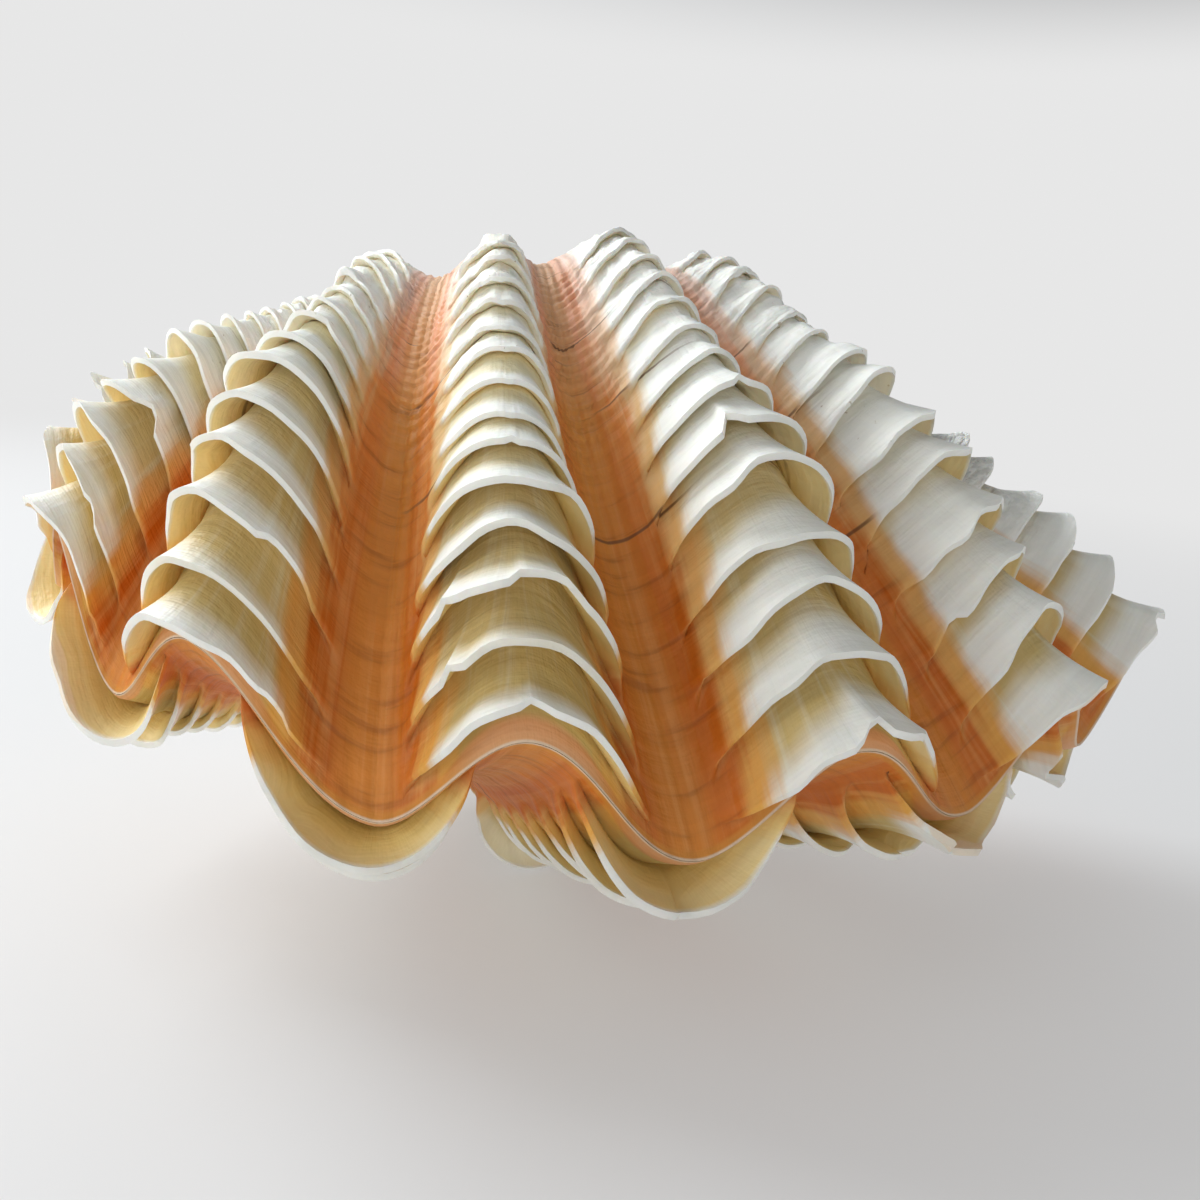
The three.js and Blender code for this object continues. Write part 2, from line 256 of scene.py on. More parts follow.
class ClamColours(bpy.types.PropertyGroup):
    """Colours of the shell's finish."""

    rim_white: bpy.props.FloatVectorProperty(
        name="Rim White", description="Rims of the scutes and worn crests", subtype="COLOR",
        default=(0.90, 0.90, 0.84))
    root_gold: bpy.props.FloatVectorProperty(
        name="Root Gold", description="Roots of the young scutes", subtype="COLOR",
        default=(0.62, 0.46, 0.17))
    root_cream: bpy.props.FloatVectorProperty(
        name="Root Cream", description="Roots of the old scutes", subtype="COLOR",
        default=(0.76, 0.71, 0.50))
    flank_gold: bpy.props.FloatVectorProperty(
        name="Flank Gold", description="Slopes between the furrows and the crests", subtype="COLOR",
        default=(0.78, 0.38, 0.07))
    furrow_burnt: bpy.props.FloatVectorProperty(
        name="Furrow Burnt Orange", description="Furrows behind the margin", subtype="COLOR",
        default=(0.58, 0.135, 0.004))
    furrow_orange: bpy.props.FloatVectorProperty(
        name="Furrow Orange", description="Furrows half way up", subtype="COLOR",
        default=(0.76, 0.27, 0.06))
    furrow_pink: bpy.props.FloatVectorProperty(
        name="Furrow Pink", description="Furrows near the beak", subtype="COLOR",
        default=(0.86, 0.39, 0.22))
    # Under sides: their own cream, brightened into a painted glow of the light that shines through the
    # thin scutes
    under_cream_glow: bpy.props.FloatVectorProperty(
        name="Under Cream", description="Under sides of the scutes", subtype="COLOR",
        default=(0.86, 0.66, 0.26))
    lip_peach: bpy.props.FloatVectorProperty(
        name="Lip Peach", description="Fresh growth at the margin", subtype="COLOR",
        default=(0.80, 0.37, 0.17))
    inside_white: bpy.props.FloatVectorProperty(
        name="Inside White", description="The smooth inside", subtype="COLOR",
        default=(0.86, 0.83, 0.76))


class ClamStage(bpy.types.PropertyGroup):
    """The floor, the light and the camera."""

    floor_colour: bpy.props.FloatVectorProperty(
        name="Floor", description="Colour of the plain floor", subtype="COLOR",
        default=(0.78, 0.78, 0.78))
    background: bpy.props.FloatVectorProperty(
        name="Background", description="Colour of the plain background", subtype="COLOR",
        default=(0.80, 0.80, 0.80))
    light_power: bpy.props.FloatProperty(
        name="Light", description="Power of the key light", default=6.0, unit="POWER")
    sky_light: bpy.props.FloatProperty(
        name="Sky", description="Strength of the plain light overhead", default=0.8)
    azimuth: bpy.props.FloatProperty(
        name="Azimuth", description="Side from which the shell is seen", default=-0.065,
        subtype="ANGLE")
    elevation: bpy.props.FloatProperty(
        name="Elevation", description="Height from which the shell is seen", default=0.4685,
        subtype="ANGLE")
    roll: bpy.props.FloatProperty(
        name="Roll", description="Turn of the camera about its own line of sight", default=0.1961,
        subtype="ANGLE")
    distance: bpy.props.FloatProperty(
        name="Distance", description="Camera to the point it looks at", default=0.14727,
        unit="LENGTH")
    lens: bpy.props.FloatProperty(
        name="Lens", description="Focal length in millimetres", default=28.485)


def smooth(value, low, high):
    """0 below low and 1 above high, with an S-shaped cubic between them."""
    share = np.clip((value - low) / (high - low), 0, 1)
    return share * share * (3 - 2 * share)


def chance(order, rib, salt):
    """A repeatable number from 0 to 1: the fraction of a large multiple of a sine."""
    value = np.sin(order * 12.9898 + rib * 78.233 + salt * 37.719) * 43758.5453
    return value - np.floor(value)


def ripple(u, v, salt):
    """Smooth noise from -1 to 1: random numbers on a unit lattice, eased between its corners."""
    i, j = np.floor(u), np.floor(v)
    a, b = smooth(u - i, 0, 1), smooth(v - j, 0, 1)
    near = chance(i, j, salt) * (1 - a) + chance(i + 1, j, salt) * a
    far = chance(i, j + 1, salt) * (1 - a) + chance(i + 1, j + 1, salt) * a
    return 2 * (near * (1 - b) + far * b) - 1


def waves(phase, row, per_unit, salt):
    """Noise with so many waves for each rib and for each row or radian."""
    return ripple(phase * per_unit[0], row * per_unit[1], salt)


def fan_stops():
    """Directions of ribs and furrows in turn, from one end of the hinge to the other."""
    furrows = (RIB_DIRECTIONS[:-1] + RIB_DIRECTIONS[1:]) / 2 + FURROW_SHIFTS
    stops = np.empty(len(RIB_DIRECTIONS) * 2 + 1)
    stops[0], stops[-1] = -FAN_END, FAN_END
    stops[1:-1:2] = RIB_DIRECTIONS
    stops[2:-1:2] = furrows
    return stops


def direction_at(phase):
    """Direction at a rib phase: even steps of half a phase from stop to stop of the fan."""
    stops = fan_stops()
    return np.interp(phase, np.arange(len(stops)) / 2 - 0.5, stops)


def shrink_at(growth):
    """Size of the margin at a growth angle: falls off by a power of e, faster near the beak."""
    beak = np.maximum(growth - BEAK_START, 0)
    return np.exp(-(SHRINK * growth - SHRINK_EASE * growth**2 + BEAK_CLOSE * beak**3))


def margin_radius(direction):
    """Beak to margin, as a share of the reach: a parabola with a fuller right end."""
    right = np.maximum(direction, 0)
    level, slope, curve = OUTLINE
    end = RIGHT_END[0] * right**4 + RIGHT_END[1] * right**6
    return level + slope * direction + curve * direction**2 + end


def sheet_point(sizes, direction, growth, wave, fullness):
    """A point of the growth sheet, in metres.

    The margin is a flat outline whose height rises and falls with the wave. At a growth angle it is
    turned back about the hinge line by that angle, arched over the middle and shrunk to the beak.
    The lower valve's height is a set share of the upper valve's.
    """
    away = np.abs(direction)
    fan = direction + RIB_TWIST * growth * (1 - smooth(away, *TWIST_FADE))
    fan = np.clip(fan, -FAN_END, FAN_END)
    fade = 1 - smooth(away, *WAVE_FADE)
    older = smooth(growth, *SHARPNESS_ANGLES)
    sharpness = YOUNG_SHARPNESS + (OLD_SHARPNESS - YOUNG_SHARPNESS) * older
    rounded = 1 - 2 * ((1 - wave) / 2) ** sharpness
    relief = sizes.rib_relief / sizes.reach * smooth(growth, 0, RELIEF_GROWTH) * rounded * fade
    rise = sizes.margin_wave / sizes.reach * wave * fade
    radius = margin_radius(direction)
    reach = radius + relief
    arch = np.maximum(np.cos(fan), 0) ** ARCH_ROUNDNESS
    width = 1 - BEAK_NARROWING * (1 - np.cos(growth))
    bulge = sizes.back_bulge / sizes.reach * radius * np.sin(growth)
    bulge = bulge * np.sin(np.pi * np.clip(arch / BULGE_ARCH, 0, 1)) * smooth(np.abs(fan), *BULGE_FADE)
    depth = np.cos(fan) * reach * np.cos(growth) - rise * np.sin(growth) - bulge
    height = reach * np.sin(growth) * arch * fullness + rise * np.cos(growth)
    point = np.stack([reach * np.sin(fan) * width, -depth, height], axis=-1)
    return point * (shrink_at(growth) * sizes.reach)[..., None]


def phase_point(sizes, phase, growth, rib_phase, wave_share=1.0):
    """A sheet point by rib phase: the wave is a cosine that peaks on this valve's ribs."""
    wave = np.cos(2 * np.pi * (phase - rib_phase)) * wave_share
    fullness = LOWER_FULLNESS if rib_phase > 0 else 1
    return sheet_point(sizes, direction_at(phase), growth, wave, fullness)


def unit(vectors):
    """Vectors scaled to length one."""
    return vectors / np.maximum(np.linalg.norm(vectors, axis=-1, keepdims=True), 1e-12)


def sheet_normal(sizes, phase, growth, rib_phase):
    """The direction straight off the sheet: the cross product of small steps along it."""
    nudge = 1e-4
    across = phase_point(sizes, phase + nudge, growth, rib_phase)
    across = across - phase_point(sizes, phase - nudge, growth, rib_phase)
    along = phase_point(sizes, phase, growth + nudge, rib_phase)
    along = along - phase_point(sizes, phase, growth - nudge, rib_phase)
    return unit(np.cross(across, along))


def rim_at(order, phase):
    """Growth angle of a row's rim: even steps of each rib's own size, which widen with age."""
    ribs = np.arange(len(FIRST_RIMS))
    first, step = np.interp(phase, ribs, FIRST_RIMS), np.interp(phase, ribs, RIM_STEPS)
    return first + step * order + STEP_GROWTH * np.maximum(order - OLD_ROW, 0) ** 2


def scute_size(order, rib):
    """Size of a scute, near 1: its size by age, less its wear, times a chance of its own.

    The upper valve's are small on the margin and rubbed down far behind it. The lower valve's are
    largest on the margin and hardly worn.
    """
    upper = rib < LOWER
    young, grown = np.where(upper, UPPER_YOUNG, LOWER_YOUNG), np.where(upper, 1, LOWER_SIZE)
    older = np.where(upper, smooth(order, *UPPER_YOUNG_ROWS), smooth(order, *LOWER_YOUNG_ROWS))
    age = young + (grown - young) * older
    start = np.interp(rib % LOWER, np.arange(len(WEAR_STARTS)), WEAR_STARTS)
    wear = 1 - np.where(upper, UPPER_WEAR, LOWER_WEAR) * smooth(order, start, start + WEAR_RUN)
    return age * wear * (1 + SIZE_SPREAD * (chance(order, rib, 2) - 0.5))


def sheet_rows(phase):
    """The rows of the outside from margin to beak: furrow growth angle, scute order and station.

    The order is -1 where a row belongs to no scute. A station runs along the scute's section: under
    side 0 to 1, edge 1 to 2, upper side 2 to 3. In the furrows the rows of one scute are spread
    evenly over a step, which lies half a step nearer the margin than the rims do.
    """
    margin = np.array(MARGIN_ROWS)[:, None] + 0 * phase
    stations = np.array([*UNDER_STATIONS, *(1 + e for e in EDGE_STATIONS),
                         *(2 + o for o in OVER_STATIONS)])
    order = np.repeat(np.arange(SCUTE_ROWS), len(stations))[:, None]
    station = np.tile(stations, SCUTE_ROWS)[:, None]
    share = np.tile(np.arange(len(stations)) / len(stations), SCUTE_ROWS)[:, None]
    start = np.where(order > 0, rim_at(order + FURROW_LAG, phase), SCUTE_START)
    furrow = start + (rim_at(order + 1 + FURROW_LAG, phase) - start) * share
    tail_share = (np.arange(1, TAIL_ROWS + 1) / TAIL_ROWS)[:, None]
    tail = furrow[-1:] + (LAST_ROW - furrow[-1:]) * tail_share
    plain = np.full((len(margin), 1), -1), np.full((len(tail), 1), -1)
    orders = np.concatenate([plain[0], order, plain[1]])
    stations = np.concatenate([0.0 * plain[0], station, 0.0 * plain[1]])
    return np.concatenate([margin, furrow, tail]), orders, stations


def leaf_section(sizes, order, rib, station, phase, salt):
    """Growth angle and lift, as a share of the reach, at a station of a scute's section.

    The under side curls up from the root to the rim by a power of the way out. The edge is a
    rounded step of the rim's thickness. The upper side falls away behind the rim by a power of the
    way back to the next root. The reach of the rim wavers along it, with a few small chips.
    """
    size = scute_size(order, rib)
    rim = rim_at(order, phase)
    step = rim_at(order + 1, phase) - rim
    slow, quick = waves(phase, order, SLOW_WAVER, salt), waves(phase, order, QUICK_WAVER, salt + 1)
    waver = WAVER_SHARES[0] * slow + WAVER_SHARES[1] * quick
    chip = smooth(waves(phase, order, CHIPS, salt + 2), *CHIP_EDGES)
    resting = np.zeros_like(size)
    for row, place, extra in RESTING_SCUTES:
        resting = resting + extra * ((order == row) & (rib == place + LOWER))
    ragged = sizes.rim_raggedness * np.where(resting > 0, RESTING_RAGGEDNESS, 1)
    overhang = sizes.scute_reach / sizes.reach * size * step / REACH_STEP
    root = rim + overhang + ROOT_SPREAD * step * (chance(order, rib, 1) - 0.5)
    lift = (sizes.scute_lift * size + resting) / sizes.reach
    thickness = WORN_THICKNESS + (1 - WORN_THICKNESS) * np.minimum(size, 1)
    thickness = thickness * sizes.scute_thickness / sizes.reach
    reach = overhang * (1 + ragged * waver - CHIP_DEPTH * ragged * chip)
    lift = lift * (1 + LIFT_SHARE * ragged * waves(phase, order, LIFT_WAVER, salt + 3))
    under = np.clip(station, 0, 1)
    edge = np.clip(station - 1, 0, 1)
    over = np.clip(station - 2, 0, 1)
    nose = 0.5 * thickness * np.sin(np.pi * edge)
    growth = root - reach * under - nose + (reach + BACK_RUN * step) * over
    rise = lift * under**UNDER_CURL + thickness * smooth(edge, 0, 1)
    rise = np.where(station >= 2, (lift + thickness) * (1 - over) ** BACK_SLOPE, rise)
    return growth, rise


def fine_relief(sizes, phase, growth, share, salt):
    """Height of the growth ledges, riblets and lumps, in metres.

    Ledges are saw teeth of the growth angle, bent and faded by noise, and strongest in the old
    furrows. Riblets are a cosine across the furrows. Lumps are noise on the worn crests.
    """
    teeth = growth * LEDGES_PER_RADIAN + 0.9 * waves(phase, growth, LEDGE_BENDS, salt + 4)
    teeth = teeth + 0.35 * waves(phase, growth, LEDGE_JITTER, salt + 5)
    ledge = 1 - (teeth - np.floor(teeth))
    ledge = smooth(ledge, 0, LEDGE_EDGE) * (0.6 + 0.4 * waves(phase, growth, LEDGE_FADES, salt + 6))
    ledge = ledge * (YOUNG_LEDGE + (1 - YOUNG_LEDGE) * smooth(growth, *LEDGE_AGES))
    riblet = RIBLET_HEIGHT * np.cos(2 * np.pi * RIBLETS_PER_RIB * phase)
    riblet = riblet * (0.5 + 0.5 * waves(phase, growth, RIBLET_FADES, salt + 7))
    ledge = (ledge + riblet) * (1 - share) * smooth(growth, *BEHIND_MARGIN)
    ledge = ledge * (1 - smooth(growth, *LEDGE_END))
    small = waves(phase, growth, SMALL_LUMPS, salt + 9)
    lump = (waves(phase, growth, LUMPS, salt + 8) + 0.5 * small) * share
    lump = lump * smooth(growth, *LUMP_AGES) * (1 - smooth(growth, *LUMP_END))
    return sizes.growth_ledge * ledge + sizes.crest_lumps * lump


def outer_sheet(sizes, rib_phase, salt):
    """The outside of a valve: points, and what the finish needs to know at each of them.

    Between crest and furrow the growth angle and the lift are mixed by the scute's share, which is
    a parabola across the rib, raised to a power that sets how pointed its ends are. The scutes and
    the fine relief are raised along the sheet's normal.
    """
    count = len(RIB_DIRECTIONS) * COLUMNS_PER_RIB
    phase = (np.arange(count + 1) / COLUMNS_PER_RIB - 0.5)[None, :]
    furrow, order, station = sheet_rows(phase)
    direction = direction_at(phase)
    rib_number = np.round(phase - rib_phase)
    across = 2 * np.abs(phase - rib_phase - rib_number)
    young_width = LOWER_WIDTH if rib_phase > 0 else UPPER_WIDTH
    width = young_width + (OLD_WIDTH - young_width) * smooth(order, *WIDTH_ROWS)
    share = np.maximum(1 - (across / width) ** 2, 0) ** SCUTE_POINT
    share = share * (1 - smooth(np.abs(direction), *SCUTE_FADE))
    rib = rib_number + (LOWER if rib_phase > 0 else 0)
    crest_growth, crest_lift = leaf_section(sizes, order, rib, station, phase, salt)
    plain = order < 0
    crest_growth = np.where(plain, furrow, crest_growth)
    crest_lift = np.where(plain, LIP_SLOPE * furrow * (furrow < LIP_END), crest_lift)
    growth = furrow + (crest_growth - furrow) * share
    lift = crest_lift * share * shrink_at(growth)
    wave = np.cos(2 * np.pi * (phase - rib_phase)) + 0 * growth
    phases = phase + 0 * growth
    points = phase_point(sizes, phases, growth, rib_phase)
    normal = sheet_normal(sizes, phases, np.maximum(growth, LEAST_GROWTH), rib_phase)
    raised = lift * sizes.reach + fine_relief(sizes, phase, growth, share, salt)
    points = points + normal * raised[..., None]
    rim = np.where(station >= 2, 1 - np.clip(station - 2, 0, 1), np.clip(station, 0, 1)) + 0 * growth
    facts = {
        "growth": growth,
        "rib_phase": phases,
        "wave": wave,
        "share": share + 0 * growth,
        "rim": np.where(plain, 0, rim) * smooth(share, 0.12, 0.7),
        "under": np.where(plain, 0, station < 1.3) * smooth(share, 0.1, 0.6) + 0 * growth,
        "inside": 0 * growth,
    }
    return points, facts


def towards_middle(sizes, points, direction, wall):
    """Points moved a share of the way to a curved line between the valves."""
    half, back, front = MIDDLE_LINE
    across = half * margin_radius(direction) * np.sin(direction)
    ahead = back + front * np.cos(direction)
    middle = np.stack([across, -ahead, 0 * across], axis=-1) * sizes.reach
    return points + (middle - points) * wall[..., None]


def inner_bowl(sizes, rib_phase):
    """The inside of a valve: the sheet with fainter waves, moved towards the middle line."""
    count = len(RIB_DIRECTIONS) * COLUMNS_PER_RIB
    phase = (np.arange(count + 1) / COLUMNS_PER_RIB - 0.5)[None, :]
    near_margin = np.linspace(0, BOWL_BEND, BOWL_ROWS[0])
    deep_inside = np.linspace(BOWL_BEND, BOWL_END, BOWL_ROWS[1])[1:]
    growth = np.concatenate([near_margin, deep_inside])[:, None] + 0 * phase
    phase = phase + 0 * growth
    wall = RIM_WALL + (DEEP_WALL - RIM_WALL) * smooth(growth, 0, DEEP_GROWTH)
    wavy = 1 - BOWL_FLATTENING * smooth(growth, *FLATTENING_ANGLES)
    sheet = phase_point(sizes, phase, growth, rib_phase, wavy)
    points = towards_middle(sizes, sheet, direction_at(phase), wall)
    points[0, :, 2] = sheet[0, :, 2]
    facts = {"growth": growth, "rib_phase": phase, "wave": np.cos(2 * np.pi * (phase - rib_phase)),
             "inside": 1 + 0 * growth}
    return points, facts


def grid_faces(numbers):
    """Four-sided faces between neighbouring rows and columns of a grid of point numbers."""
    return np.stack([numbers[:-1, :-1], numbers[:-1, 1:], numbers[1:, 1:], numbers[1:, :-1]],
                    axis=-1).reshape(-1, 4)


def zip_faces(row_a, row_b):
    """Triangles between two rows of any length, walked side by side by their share of the way."""
    a, b = np.linspace(0, 1, len(row_a))[1:], np.linspace(0, 1, len(row_b))[1:]
    beside_a = np.minimum(np.searchsorted(b, a, side="left"), len(row_b) - 1)
    beside_b = np.minimum(np.searchsorted(a, b, side="right"), len(row_a) - 1)
    first = np.stack([row_a[:-1], row_a[1:], row_b[beside_a]], axis=-1)
    second = np.stack([row_a[beside_b], row_b[1:], row_b[:-1]], axis=-1)
    return np.concatenate([first, second])


def fan_faces(row, tip):
    """Triangles from a row of points to one tip."""
    return np.stack([row[:-1], row[1:], np.full(len(row) - 1, tip)], axis=-1)


def into_row_frame(points):
    """Points of the shell's own frame, turned and moved to where the pair lies."""
    turn = np.array(Quaternion(REST_TURN).to_matrix())
    return points @ turn.T + np.array(REST_PLACE)


def valve_mesh(sizes, name, rib_phase, side, salt):
    """One valve as a closed surface: outside, bowl, margin, two hinge plates and two tips."""
    outer, outer_facts = outer_sheet(sizes, rib_phase, salt)
    inner, inner_facts = inner_bowl(sizes, rib_phase)
    beak = np.zeros((1, 3))
    deep = towards_middle(sizes, beak, np.zeros(1), np.full(1, DEEP_WALL))
    points = np.concatenate([outer.reshape(-1, 3), inner.reshape(-1, 3), beak, deep])
    points[:, 2] = side * (points[:, 2] + sizes.valve_gap / 2)
    points = into_row_frame(points)
    low, high = (np.array(corner) for corner in CAD_BOX)
    points = np.clip(points, low, high)

    outer_numbers = np.arange(outer[..., 0].size).reshape(outer.shape[:2])
    inner_numbers = outer_numbers.size + np.arange(inner[..., 0].size).reshape(inner.shape[:2])
    beak_tip = outer_numbers.size + inner_numbers.size
    deep_tip = beak_tip + 1
    left = (np.append(outer_numbers[:, 0], beak_tip), np.append(inner_numbers[:, 0], deep_tip))
    right = (np.append(outer_numbers[:, -1], beak_tip), np.append(inner_numbers[:, -1], deep_tip))
    quads = np.concatenate([
        grid_faces(outer_numbers),
        grid_faces(inner_numbers)[:, ::-1],
        grid_faces(np.stack([inner_numbers[0], outer_numbers[0]])),
    ])
    triangles = np.concatenate([
        fan_faces(outer_numbers[-1], beak_tip),
        fan_faces(inner_numbers[-1], deep_tip)[:, ::-1],
        zip_faces(left[0], left[1]),
        zip_faces(right[1], right[0]),
    ])
    if side < 0:
        quads, triangles = quads[:, ::-1], triangles[:, ::-1]
    mesh = bpy.data.meshes.new(name)
    mesh.from_pydata(points.tolist(), [], quads.tolist() + triangles.tolist())
    for fact, outside in outer_facts.items():
        inside = inner_facts.get(fact, np.zeros(inner.shape[:2]))
        values = np.concatenate([outside.ravel(), inside.ravel(), TIP_FACTS.get(fact, (0, 0))])
        layer = mesh.attributes.new(fact, "FLOAT", "POINT")
        layer.data.foreach_set("value", values.astype(np.float32))
    mesh.shade_smooth()
    mesh.set_sharp_from_angle(angle=SHARP_EDGE)
    mesh.update()
    if mesh.validate():
        raise RuntimeError(f"{name} has faces that Blender had to mend")
    return mesh


class Finish:
    """Adds nodes to one material or world and joins them up."""

    def __init__(self, owner):
        owner.use_nodes = True
        self.owner = owner
        self.tree = owner.node_tree
        self.tree.nodes.clear()

    def add(self, kind, inputs=(), **settings):
        """One node; inputs pairs a socket's name or number with a value or another socket."""
        node = self.tree.nodes.new(kind)
        for key, value in settings.items():
            setattr(node, key, value)
        for key, value in inputs:
            if isinstance(value, bpy.types.NodeSocket):
                self.tree.links.new(value, node.inputs[key])
            else:
                node.inputs[key].default_value = value
        return node

    def fact(self, name):
        """The value of one of the mesh's attributes."""
        return self.add("ShaderNodeAttribute", attribute_name=name).outputs["Fac"]

    def math(self, operation, first, second=0.0, third=0.0, clamp=False):
        """One sum on up to three values."""
        inputs = [(0, first), (1, second), (2, third)]
        return self.add("ShaderNodeMath", inputs, operation=operation, use_clamp=clamp).outputs[0]

    def ease(self, value, low, high):
        """0 below low, 1 above high, smooth between; low may be over high to turn it round."""
        falling = low > high
        node = self.add("ShaderNodeMapRange", [
            ("Value", value), ("From Min", min(low, high)), ("From Max", max(low, high)),
            ("To Min", 1.0 if falling else 0.0), ("To Max", 0.0 if falling else 1.0),
        ], interpolation_type="SMOOTHSTEP")
        return node.outputs["Result"]

    def spots(self, vector, scale, detail=3.0, roughness=0.55):
        """Soft noise around a half."""
        node = self.add("ShaderNodeTexNoise", [
            ("Vector", vector), ("Scale", scale), ("Detail", detail), ("Roughness", roughness)])
        return node.outputs["Fac"]

    def grown(self, across, along, shift=0.0):
        """Coordinates on the sheet, with so many units for each rib and each radian of growth."""
        x = self.math("MULTIPLY", self.fact("rib_phase"), across)
        y = self.math("MULTIPLY", self.fact("growth"), along)
        return self.add("ShaderNodeCombineXYZ", [("X", x), ("Y", y), ("Z", shift)]).outputs[0]

    def mix(self, share, first, second, blend="MIX"):
        """Two colours mixed by a share; colours are sockets or red, green and blue values."""
        node = self.add("ShaderNodeMix", data_type="RGBA", blend_type=blend)
        for number, value in ((0, share), (6, first), (7, second)):
            if isinstance(value, bpy.types.NodeSocket):
                self.tree.links.new(value, node.inputs[number])
            else:
                node.inputs[number].default_value = (*value, 1) if number else value
        return node.outputs[2]

    def ramp(self, value, stops):
        """A colour that runs through stops of place and colour."""
        node = self.add("ShaderNodeValToRGB", [("Fac", value)])
        line = node.color_ramp.elements
        while len(line) < len(stops):
            line.new(0.5)
        for element, (place, colour) in zip(line, stops):
            element.position = place
            element.color = (*colour, 1)
        return node.outputs["Color"]


def mixed(first, second, share):
    """A colour that lies a share of the way from the first to the second."""
    return tuple(a + (b - a) * share for a, b in zip(first, second))


def furrow_colour(f, colours, along, streaks, lines, patches):
    """Burnt orange at the margin to salmon pink at the beak, golden along the deepest line."""
    tone = f.math("ADD", along, f.math("MULTIPLY", f.math("SUBTRACT", patches, 0.5), 0.22))
    furrow = f.ramp(tone, [
        (0.0, mixed(colours.furrow_burnt, colours.furrow_orange, 0.25)),
        (0.12, tuple(colours.furrow_burnt)),
        (0.30, mixed(colours.furrow_burnt, colours.furrow_orange, 0.55)),
        (0.46, tuple(colours.furrow_orange)),
        (0.66, tuple(colours.furrow_pink)),
        (1.0, mixed(colours.furrow_pink, colours.rim_white, 0.2)),
    ])
    deepest = f.ease(f.math("ADD", f.fact("wave"), f.math("MULTIPLY", streaks, 0.5)), -0.50, -0.74)
    golden = f.ramp(along, [
        (0.0, mixed(colours.furrow_burnt, colours.flank_gold, 0.45)),
        (0.45, mixed(colours.furrow_orange, colours.flank_gold, 0.6)),
        (1.0, mixed(colours.flank_gold, colours.rim_white, 0.35)),
    ])
    furrow = f.mix(f.math("MULTIPLY", deepest, 0.7), furrow, golden)
    streak = f.math("MULTIPLY", f.ease(streaks, 0.46, 0.68), 0.45)
    furrow = f.mix(streak, furrow, mixed(colours.flank_gold, colours.furrow_pink, 0.3))
    return f.mix(f.math("MULTIPLY", f.ease(lines, 0.46, 0.30), 0.35), furrow, LINE_BROWN)


def crest_colour(f, colours, along, streaks, patches, speckle):
    """Olive gold at a young scute's root to white at its rim, with painted shadow on the roots that
    lie under overhanging rims; old scutes are white all over.
    """
    root = f.ramp(along, [
        (0.0, tuple(colours.root_gold)),
        (0.22, mixed(colours.root_gold, colours.root_cream, 0.35)),
        (0.45, tuple(colours.root_cream)),
        (0.65, mixed(colours.root_cream, colours.rim_white, 0.85)),
    ])
    streak = f.math("MULTIPLY", f.ease(streaks, 0.48, 0.7), 0.35)
    root = f.mix(streak, root, mixed(colours.root_cream, colours.rim_white, 0.4))
    # Painted shadow: where a young scute's root lies under an overhanging rim, it is darkened towards
    # ROOT_SHADOW
    deep = f.math("MULTIPLY", f.ease(f.fact("rim"), 0.22, 0.0), f.ease(along, 0.6, 0.2))
    root = f.mix(f.math("MULTIPLY", deep, 0.45), root, ROOT_SHADOW)
    start = f.math("MULTIPLY", f.ease(along, 0.1, 0.6), -0.5)
    start = f.math("ADD", start, f.math("MULTIPLY", f.ease(f.fact("rib_phase"), 3.3, 4.3), -0.2))
    start = f.math("ADD", start, f.math("MULTIPLY", f.math("SUBTRACT", patches, 0.5), -0.6))
    whiteness = f.math("SUBTRACT", f.fact("rim"), start)
    crest = f.mix(f.ease(whiteness, 0.66, 1.0), root, tuple(colours.rim_white))
    pits = f.math("MULTIPLY", f.ease(speckle, 0.70, 0.76), f.ease(along, 0.2, 0.5))
    return f.mix(f.math("MULTIPLY", pits, 0.6), crest, PIT_BROWN)


def margin_colour(f, colours, colour):
    """Peach fresh growth on the margin's crests, golden brown in its furrows, and a pale edge."""
    growth = f.fact("growth")
    on_crest = f.ease(f.fact("wave"), -0.2, 0.7)
    fresh = f.mix(on_crest, mixed(colours.furrow_burnt, colours.flank_gold, 0.5),
                  tuple(colours.lip_peach))
    band = f.math("ADD", f.math("MULTIPLY", on_crest, 0.020), 0.012)
    lip = f.ease(f.math("DIVIDE", growth, band), 1.2, 0.7)
    lip = f.math("MULTIPLY", lip, f.ease(f.fact("rim"), 0.4, 0.08))
    colour = f.mix(f.math("MULTIPLY", lip, 0.85), colour, fresh)
    edge = f.ease(growth, 0.0045, 0.0015)
    return f.mix(f.math("MULTIPLY", edge, 0.7), colour, EDGE_CREAM)


def rest_lines(f, colour, ragged):
    """Thin brown cracks across the valve, where its growth once paused."""
    growth = f.math("ADD", f.fact("growth"), f.math("MULTIPLY", f.math("SUBTRACT", ragged, 0.5), 0.05))
    for place in REST_LINES:
        off = f.math("ABSOLUTE", f.math("SUBTRACT", growth, place))
        line = f.math("MULTIPLY", f.ease(off, 0.005, 0.0015), f.ease(ragged, 0.38, 0.5))
        line = f.math("MULTIPLY", line, f.ease(f.fact("rim"), 0.7, 0.2))
        colour = f.mix(f.math("MULTIPLY", line, 0.8), colour, CRACK_BROWN)
    return colour


def grown_bump(f, streaks, lines, speckle, crust):
    """The finest relief of the outside: riblets in the furrows, growth lines, grain and crust."""
    riblets = f.math("SINE", f.math("MULTIPLY", f.fact("rib_phase"), 2 * math.pi * FINE_RIBLETS))
    in_furrow = f.ease(f.fact("wave"), 0.4, -0.3)
    relief = f.math("MULTIPLY", f.math("MULTIPLY", riblets, in_furrow), 0.22)
    relief = f.math("ADD", relief, f.math("MULTIPLY", lines, 0.8))
    relief = f.math("ADD", relief, f.math("MULTIPLY", streaks, 0.4))
    relief = f.math("ADD", relief, f.math("MULTIPLY", speckle, 0.35))
    relief = f.math("ADD", relief, crust)
    relief = f.math("MULTIPLY", relief, f.math("SUBTRACT", 1.0, f.fact("inside")))
    bump = f.add("ShaderNodeBump", [("Strength", 0.6), ("Distance", 0.0007), ("Height", relief)])
    return bump.outputs[0]


